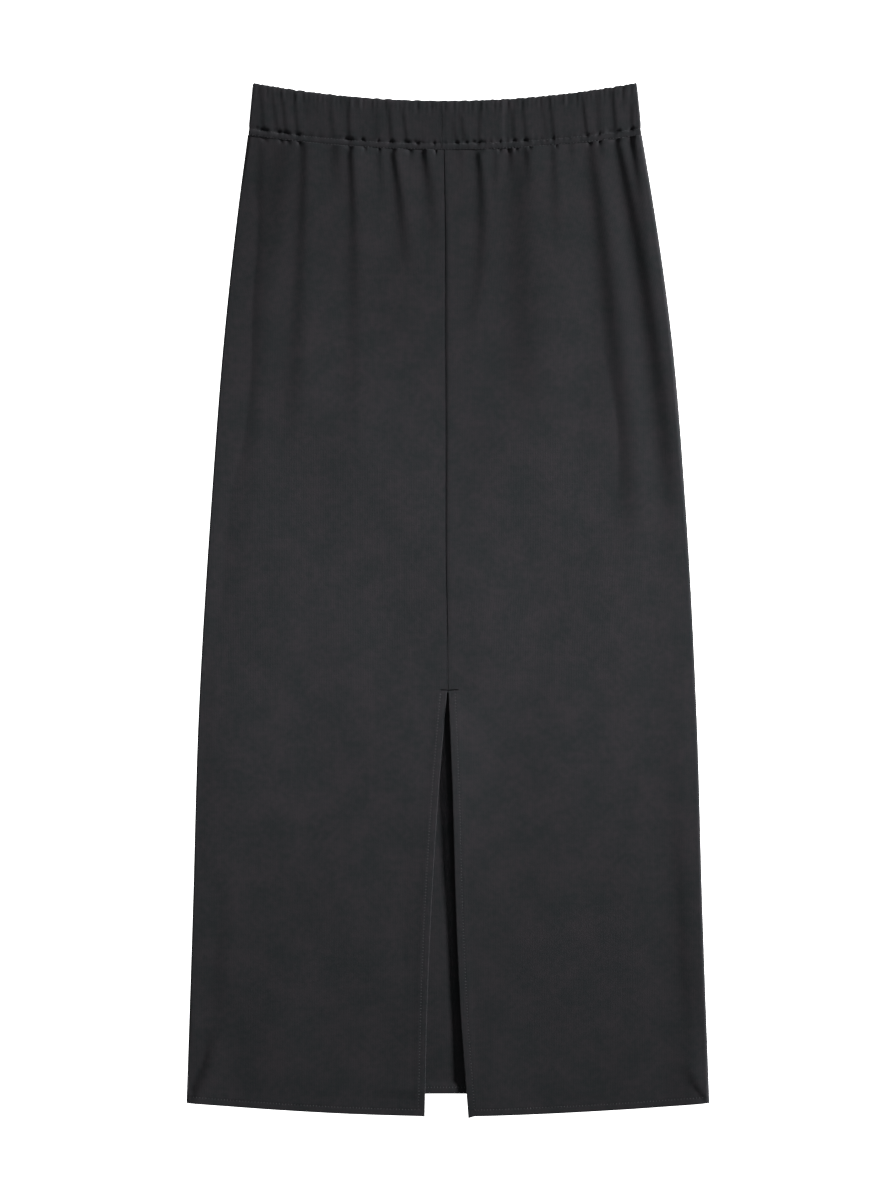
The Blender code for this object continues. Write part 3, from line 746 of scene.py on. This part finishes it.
# %% The waistband's section and folds, in millimetres
Station = namedtuple("Station", "down height creased")
BAND_SECTION = [Station(*row) for row in (
    (43.7, 0.46, 0.05), (43.5, 0.60, 0.10), (43.0, 0.72, 0.35), (42.2, 0.80, 0.40), (40.9, 0.84, 0.45),
    (39.6, 0.80, 0.50), (38.8, 0.72, 0.60), (38.2, 0.66, 0.75), (37.6, 0.68, 0.90), (36.8, 0.78, 1.00),
    (35.2, 0.90, 1.10), (31.0, 0.98, 1.05), (20.0, 1.00, 1.00), (8.0, 0.98, 0.95), (3.0, 0.92, 0.80),
    (1.2, 0.80, 0.60), (0.4, 0.62, 0.40), (0.05, 0.44, 0.25), (0.0, 0.28, 0.10),
)]
BandFold = namedtuple("BandFold", "top foot width rise begins ends", defaults=(-0.2, 1.2))
BAND_FOLDS = [BandFold(*row) for row in (
    (-166.0, -163.0, 2.2, 0.6), (-157.0, -149.5, 2.0, 0.6), (-147.5, -142.6, 2.4, 0.8),
    (-137.0, -132.0, 2.2, 0.7), (-125.0, -124.0, 2.5, 0.4, -0.2, 0.55),
    (-117.0, -117.0, 2.5, 0.3, -0.2, 0.45), (-106.0, -100.2, 2.5, 0.5, 0.2, 0.85), (-89.0, -87.2, 2.0, 0.8),
    (-75.0, -75.0, 2.0, 0.4, 0.75), (-64.0, -62.5, 3.0, 0.4), (-53.0, -49.8, 2.0, 0.7),
    (-41.0, -35.6, 1.8, 0.6, 0.2), (-27.0, -26.5, 1.8, 0.5, 0.85), (-4.6, -4.0, 2.6, 0.4, -0.2, 0.6),
    (2.0, 8.4, 2.0, 0.5, 0.4), (9.0, 16.2, 2.4, 0.7, 0.3), (29.2, 26.8, 1.9, 0.5), (49.5, 49.0, 1.6, -0.4),
    (56.5, 59.0, 2.4, 0.6, 0.2), (65.5, 70.0, 2.2, 0.6), (82.0, 89.0, 2.4, 0.4), (89.8, 94.8, 2.1, 0.7),
    (118.3, 124.2, 1.8, 0.8), (132.6, 134.4, 2.8, 0.6), (145.0, 149.6, 2.2, 1.0),
    (156.0, 156.0, 2.2, 0.4, -0.2, 0.4), (162.8, 163.0, 1.9, 0.7, 0.4),
)]
BAND_POCKETS = [Pocket(*pair) for pair in (
    (-163.0, 3.2), (-149.8, 1.9), (-142.8, 2.4), (-132.4, 1.8), (-87.4, 3.0), (-75.0, 1.2), (-61.5, 0.8),
    (-50.0, 1.8), (-35.8, 2.4), (-27.0, 2.1), (-12.0, 1.0), (8.2, 1.5), (16.0, 1.2), (26.5, 4.2),
    (46.0, 1.0), (59.0, 1.5), (69.0, 1.8), (93.5, 0.9), (123.6, 1.6), (134.0, 1.1), (149.0, 3.6),
    (163.0, 2.0),
)]
BAND_HEIGHT = 43.7 * MM
BAND_DIP = 16.0 * MM
BAND_TOP_Y = TOP_END_Y + 0.3 * MM
BAND_TOP_WIDTH = 0.9753
UPPER_STITCHES = 38.0 * MM
LOWER_STITCHES = 43.2 * MM
POCKET_UP = 0.5 * MM
POCKET_SKEW = 0.45
POCKET_FULL = 2.2
POCKET_HIGH = 1.7 * MM
BAND_POCKET = 1.8 * MM
BAND_FOLD_FADE = 0.15
BAND_FOLD_SETTLES = 4 * MM
BAND_JOINT_GAP = 0.04 * MM
BAND_JOINT_ROUND = 0.25 * MM
JOINT_SHIFT = -2.7 * MM
BAND_SQUASH = 0.5
BAND_LEAST = 0.12
LUMP_WAVES = 6
LUMP_LENGTHS = (4 * MM, 15 * MM)
RIB_WANDER = 0.55 * MM
RIB_LUMPS = 0.2 * MM
RIB_REACH = 4.5 * MM
TOP_WAVE = 0.7 * MM
TOP_LUMPS = 0.30 * MM
TOP_LUMPS_GROW = (0.0, 0.05)
TOP_LUMPS_FADE = (0.1, 0.35)


def band_fold_height(x, share, mirror):
    """How far the folds and pockets raise the waistband, where share is 0 at its top and 1 at its foot."""
    height = np.zeros(np.broadcast(x, share).shape)
    for fold in BAND_FOLDS:
        away = mirror * x - (fold.top + (fold.foot - fold.top) * share) * MM
        grows, fades = ((end - BAND_FOLD_FADE, end + BAND_FOLD_FADE) for end in (fold.begins, fold.ends))
        rise = fold.rise * MM * hump(grows, fades, share)
        height += fold_shape(away, fold.width * MM, rise, BAND_FOLD_SETTLES)
    above = (UPPER_STITCHES - share * BAND_HEIGHT - POCKET_UP) / POCKET_HIGH
    for pocket in BAND_POCKETS:
        away = (mirror * x - pocket.place * MM) / (pocket.half_width * MM)
        away = away * np.where(away < 0.0, POCKET_SKEW, 1.0)
        depth = BAND_POCKET * min(1.0, pocket.half_width / POCKET_FULL)
        height -= depth * np.exp(-(above**2) - away**2)
    return height


print(len(BAND_FOLDS), "folds and", len(BAND_POCKETS), "pockets in the waistband")


def lumps(x, seed):
    """Small uneven swellings a few millimetres long, between -1 and 1."""
    drawn = np.random.default_rng(seed)
    total = np.zeros(x.shape)
    for _ in range(LUMP_WAVES):
        length = drawn.uniform(*LUMP_LENGTHS)
        total += np.sin(2.0 * math.pi * x / length + drawn.uniform(0.0, 2.0 * math.pi))
    return total / LUMP_WAVES


# %% Waistband shells
table = np.array([(row.down * MM, row.height, row.creased) for row in BAND_SECTION])
leap = np.hypot(np.diff(table[:, 0]), np.diff(table[:, 1]) * BAND_THICK)
stations = np.concatenate([[0.0], np.cumsum(leap)])
band_run = spaced(0.0, *((end, 0.9 * MM) for end in stations[1:]))
band_down, band_height, band_creased = (smooth_curve(stations, column, band_run) for column in table.T)
print("waistband section", len(band_run), "points")


def waistband(side, thick, lift):
    """The outer and inner points of a waistband, and its flat pattern. The side is -1 or 1 for half of the
    front and 0 for the back. The lift is 1 for the front and -1 for the back, whose folds are mirrored."""
    foot_half = HEM_HALF * SECTIONS[0].width
    fold_x = foot_half - BAND_SQUASH * thick - SEAM_GAP / 2.0
    place = spaced(BAND_JOINT_GAP, (1.2 * MM, 0.15 * MM), (fold_x, 0.7 * MM))
    quarter = np.linspace(0.0, 0.5 * math.pi, 9)[1:]
    turn = np.concatenate([0.0 * place, quarter])
    place = np.concatenate([place, fold_x + 0.0 * quarter])
    if side == 0:
        place = np.concatenate([-place[::-1], place])
        turn = np.concatenate([-turn[::-1], turn])
    else:
        place = side * place
        turn = side * turn
    share = (band_down / BAND_HEIGHT)[:, None]
    half = foot_half * (BAND_TOP_WIDTH + (1.0 - BAND_TOP_WIDTH) * share)
    x = SECTIONS[0].shift + place * (half - BAND_SQUASH * thick - SEAM_GAP / 2.0) / fold_x
    if side:
        x = x + JOINT_SHIFT * (1.0 - (place / fold_x) ** 2)
    folds = band_fold_height(x, share, lift)
    in_rib = np.exp(-(((share * BAND_HEIGHT - UPPER_STITCHES) / RIB_REACH) ** 2))
    rim = rounded(np.abs(place) - BAND_JOINT_GAP, BAND_JOINT_ROUND) if side else 0.0
    height = band_height[:, None] * thick + band_creased[:, None] * folds - rim
    height = height + RIB_LUMPS * lumps(x, seed=3) * in_rib
    height = height + TOP_LUMPS * lumps(x, seed=12) * hump(TOP_LUMPS_GROW, TOP_LUMPS_FADE, share)
    height = np.maximum(height, BAND_LEAST * thick)
    if lift < 0:
        # The back lies on the table, which presses its ripples flat.
        height = np.minimum(height, thick)
    height = height + SEAM_GAP / 2.0

    def swept(height, share, lowered):
        out = BAND_SQUASH * height * np.sin(turn)
        across = (x + out - SECTIONS[0].shift) / half
        top = BAND_TOP_Y - BAND_DIP * (1.0 - across**2)
        y = top + (seam_y(across) - top) * share - lowered
        up = height * np.cos(turn) + SEAM_GAP / 2.0 * (1.0 - np.cos(turn))
        return np.stack([x + out, y, BAND_THICK + SEAM_GAP / 2.0 + lift * up], axis=-1)

    lowered = TOP_WAVE * (lumps(x, seed=5) - 0.5) - 0.5 * np.minimum(folds, 0.0)
    lowered = lowered * (1.0 - smooth_step(0.0, 0.15, share)) + RIB_WANDER * lumps(x, seed=8) * in_rib
    outer = swept(height, share, lowered)
    inner = swept(SEAM_GAP / 2.0 + 0.0 * height, np.maximum(share, 0.02), 0.0)
    flat = np.stack([(x + turn * thick) * (1.0 + FULLNESS), band_run[:, None] + 0.0 * x], axis=-1)
    return outer, inner, flat


front_thick = front_band_high.z - front_band_low.z
bands = {}
band_outer = {}
for name, side, thick, lift in (("front_left", -1, front_thick, 1.0), ("front_right", 1, front_thick, 1.0),
                                ("back", 0, BAND_THICK, -1.0)):
    band_outer[name], inner, flat = waistband(side, thick, lift)
    bands[name] = shell(f"waistband_{name}", band_outer[name], inner, flat, cloth)

# %% [markdown]
# ## Stitching
#
# Two rows of long stitches hold the waistband's foot. One row of short stitches, which lie across the row
# like the rungs of a ladder, holds each turned edge, and a dense bar tack closes the top of the slit. The
# charcoal thread is a little paler than the cloth. The bar tack's thread is drawn very dark instead: it is
# painted shadow, the dark line that the tack casts at the top of the slit. Each stitch is a small bead, half
# sunk in the cloth.
# Geometry nodes set them down along a guide line on the cloth, which keeps their spacing even over every
# fold. A painted dashed line would look flat from the side.

# %% Thread
def thread_material(shade, code, shine):
    """Spun polyester sewing thread: smoother than the cloth, so each stitch has a faint soft highlight."""
    inputs = {"Base Color": linear(code), "Roughness": 0.6, "Specular IOR Level": shine}
    return new_material(f"spun polyester sewing thread, {shade}", inputs)


thread = thread_material("charcoal", "#353538", 0.35)
# This very dark thread is painted shadow: it stands for the shadow line at the bar tack, whose real thread is
# the same charcoal.
shadow_line_thread = thread_material("black, painted shadow", "#08080A", 0.05)
print("threads", thread.name, "and", shadow_line_thread.name)

# %% The nodes that lay a row of stitches
Seam = namedtuple("Seam", "pitch length width height yarn")
WAIST_SEAM = Seam(pitch=2.7 * MM, length=1.8 * MM, width=0.45 * MM, height=0.40 * MM, yarn=thread)
HEM_SEAM = Seam(pitch=2.7 * MM, length=0.8 * MM, width=1.60 * MM, height=0.26 * MM, yarn=thread)
# The bar tack's very dark thread is painted shadow, not a thread colour of its own.
BAR_SEAM = Seam(pitch=0.7 * MM, length=0.6 * MM, width=1.50 * MM, height=0.40 * MM, yarn=shadow_line_thread)
SEED = 11
SMALLEST = (0.86, 0.85, 0.8)
LARGEST = (1.08, 1.15, 1.1)


def stitch_nodes():
    """Geometry nodes that turn a guide line into a row of stitches."""
    tree = bpy.data.node_groups.new("row of stitches", "GeometryNodeTree")
    tree.is_modifier = True
    inputs = {"Guide": "Geometry", "Pitch": "Float", "Stitch size": "Vector", "Seed": "Int",
              "Thread": "Material"}
    for name, kind in inputs.items():
        tree.interface.new_socket(name, in_out="INPUT", socket_type=f"NodeSocket{kind}")
    tree.interface.new_socket("Stitches", in_out="OUTPUT", socket_type="NodeSocketGeometry")
    given = add_node(tree, "NodeGroupInput").outputs
    line = add_node(tree, "GeometryNodeMeshToCurve", {}, {}, {0: given["Guide"]})
    places = add_node(tree, "GeometryNodeCurveToPoints", {"mode": "LENGTH"}, {},
                      {"Curve": line.outputs[0], "Length": given["Pitch"]})
    turn = add_node(tree, "FunctionNodeAlignRotationToVector", {"axis": "X"}, {},
                    {"Vector": places.outputs["Tangent"]})
    upright = add_node(tree, "FunctionNodeAlignRotationToVector", {"axis": "Z", "pivot_axis": "X"},
                       {"Vector": (0.0, 0.0, 1.0)}, {"Rotation": turn.outputs[0]})
    bead = add_node(tree, "GeometryNodeMeshUVSphere", {}, {"Segments": 6, "Rings": 4, "Radius": 0.5})
    sized = add_node(tree, "GeometryNodeTransform", {}, {},
                     {"Geometry": bead.outputs["Mesh"], "Scale": given["Stitch size"]})
    vary = add_node(tree, "FunctionNodeRandomValue", {"data_type": "FLOAT_VECTOR"},
                    {0: SMALLEST, 1: LARGEST}, {"Seed": given["Seed"]})
    row = add_node(tree, "GeometryNodeInstanceOnPoints", {}, {},
                   {"Points": places.outputs["Points"], "Instance": sized.outputs[0],
                    "Rotation": upright.outputs[0], "Scale": vary.outputs[0]})
    real = add_node(tree, "GeometryNodeRealizeInstances", {}, {}, {0: row.outputs[0]})
    finish = add_node(tree, "GeometryNodeSetMaterial", {}, {},
                      {"Geometry": real.outputs[0], "Material": given["Thread"]})
    add_node(tree, "NodeGroupOutput", {}, {}, {0: finish.outputs[0]})
    return tree


stitches = stitch_nodes()
print("nodes", stitches.name, len(stitches.nodes))


# %% Rows of stitches
def stitch_row(name, seam, *guides):
    """One object with a row of stitches along each guide, which is a line of points on the cloth."""
    points = np.concatenate(guides)
    ends = np.cumsum([len(guide) for guide in guides])
    edges = [(place, place + 1) for place in range(len(points) - 1) if place + 1 not in ends]
    mesh = bpy.data.meshes.new(name)
    mesh.from_pydata(points.tolist(), edges, [])
    row = add_object(name, mesh)
    modifier = row.modifiers.new("row of stitches", "NODES")
    modifier.node_group = stitches
    size = (seam.length, seam.width, seam.height)
    values = {"Pitch": seam.pitch, "Stitch size": size, "Seed": SEED, "Thread": seam.yarn}
    for socket in stitches.interface.items_tree:
        if socket.name in values:
            modifier[socket.identifier] = values[socket.name]
    graph = bpy.context.evaluated_depsgraph_get()
    made = bpy.data.meshes.new_from_object(row.evaluated_get(graph))
    row.modifiers.clear()
    row.data = made
    made.shade_smooth()
    print(name, "faces", len(made.polygons))
    return row


EDGE_COLUMNS = SIDE_TURNS.size + 2
BAR_REACH = 9.2 * MM
BAR_RIGHT = -2 - int(np.argmin(np.abs(NEAR_EDGE - BAR_REACH)))
BAR_ABOVE = 0.8 * MM
BELOW_BAR = 2 * MM
slit_rows = np.flatnonzero(panel_rows > slit_run + BELOW_BAR)
slit_rows = slit_rows[slit_rows < len(panel_rows) + STITCH_LINE]
upper = int(np.argmin(np.abs(band_down - UPPER_STITCHES)))
lower = int(np.argmin(np.abs(band_down - LOWER_STITCHES)))

threads = []
for name in ("left", "right"):
    band = band_outer[f"front_{name}"]
    threads.append(stitch_row(f"waist_stitches_front_{name}", WAIST_SEAM, band[upper], band[lower]))
    outer = front_outer[name]
    hem_line = outer[STITCH_LINE, EDGE_COLUMNS:STITCH_LINE]
    threads.append(stitch_row(f"hem_stitches_{name}", HEM_SEAM, hem_line))
    threads.append(stitch_row(f"slit_stitches_{name}", HEM_SEAM, outer[slit_rows, STITCH_LINE]))
back_band = band_outer["back"]
threads.append(stitch_row("waist_stitches_back", WAIST_SEAM, back_band[upper], back_band[lower]))
back_lines = [grid[STITCH_LINE, EDGE_COLUMNS:-EDGE_COLUMNS] for grid in (back_outer, back_inner)]
threads.append(stitch_row("hem_stitches_back", HEM_SEAM, *back_lines))
top_row = int(np.argmin(np.abs(panel_rows - slit_run + BAR_ABOVE)))
bar_left = front_outer["left"][top_row, STITCH_LINE:]
bar_right = front_outer["right"][top_row, :BAR_RIGHT:-1]
threads.append(stitch_row("slit_bar_stitches", BAR_SEAM, np.concatenate([bar_left, bar_right])))

# %% [markdown]
# ## What each piece stands for
#
# Each panel and waistband takes the place of its solid, and the stitching rides along.

# %% Pieces and the frame
for name in ("left", "right"):
    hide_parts(f"front_{name}")
    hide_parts(f"waistband_front_{name}")
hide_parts("back")
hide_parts("waistband_back")
for piece in (*fronts.values(), back, *bands.values()):
    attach(piece, "root")
for row in threads:
    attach(row, "root")
print("pieces of cloth", len(fronts) + 1 + len(bands), "rows of stitches", len(threads))

# %% [markdown]
# ## The studio
#
# The skirt was photographed from straight above on a pale sweep, with the light from the right. Cloth this
# dark shows its folds only in light that skims it, so the main light stands low and far off on the right,
# which keeps it even from the waist to the hem. A small one higher up on that side brightens the middle, a
# weak low one on the left picks out the left edge, and a pale world softens the shadows. A lamp overhead
# would be simpler, but it would flatten every fold. The paper glows a little, so it comes out white round
# dark cloth.

# %% Floor
FLOOR_HALF = 4.0
FLOOR_DROP = 0.2 * MM
floor_mesh = bpy.data.meshes.new("floor")
corners = [(x * FLOOR_HALF, y * FLOOR_HALF, -FLOOR_DROP) for x, y in ((-1, -1), (1, -1), (1, 1), (-1, 1))]
floor_mesh.from_pydata(corners, [], [(0, 1, 2, 3)])
floor = add_object("floor", floor_mesh)
PAPER_GLOW = 2.0
paper_inputs = {"Base Color": linear("#F2F2F2"), "Roughness": 0.9, "Specular IOR Level": 0.1,
                "Emission Color": linear("#FFFFFF"), "Emission Strength": PAPER_GLOW}
floor_mesh.materials.append(new_material("matt white background paper", paper_inputs))
print("floor", 2.0 * FLOOR_HALF, "m square")

# %% Lights
AIM = (0.0, 0.02, 0.0)
Lamp = namedtuple("Lamp", "name place width height power spread")
LAMPS = (
    Lamp("low light from the right", (4.8, 1.2, 1.52), 1.2, 0.6, 28.6, 36),
    Lamp("high light from the right", (2.0, 0.05, 1.65), 0.3, 0.8, 0.5, 16),
    Lamp("low edge light, left", (-2.4, -0.2, 0.2), 1.6, 0.2, 11.0, 180),
)
for row in LAMPS:
    data = bpy.data.lights.new(row.name, "AREA")
    data.shape = "RECTANGLE"
    data.size = row.width
    data.size_y = row.height
    data.energy = row.power
    data.spread = math.radians(row.spread)
    lamp = add_object(row.name, data)
    lamp.location = row.place
    lamp.rotation_euler = (Vector(row.place) - Vector(AIM)).to_track_quat("Z", "Y").to_euler()
    lamp.visible_camera = False
    print("lamp", row.name, row.power, "W")

WORLD_STRENGTH = 0.12
world = bpy.data.worlds.new("pale studio")
world.use_nodes = True
background = world.node_tree.nodes["Background"]
background.inputs["Color"].default_value = linear("#FFFFFF")
background.inputs["Strength"].default_value = WORLD_STRENGTH
bpy.context.scene.world = world

# %% Camera
LENS = 85.0
CAMERA_HEIGHT = 2.517
camera_data = bpy.data.cameras.new("straight down")
camera_data.lens = LENS
camera_data.sensor_fit = "VERTICAL"
camera_data.sensor_height = 36.0
camera = add_object("straight down", camera_data)
camera.location = (0.0, 0.0, CAMERA_HEIGHT)
bpy.context.scene.camera = camera
bpy.context.scene.view_settings.view_transform = "Standard"
print("camera", LENS, "mm lens,", CAMERA_HEIGHT, "m up")
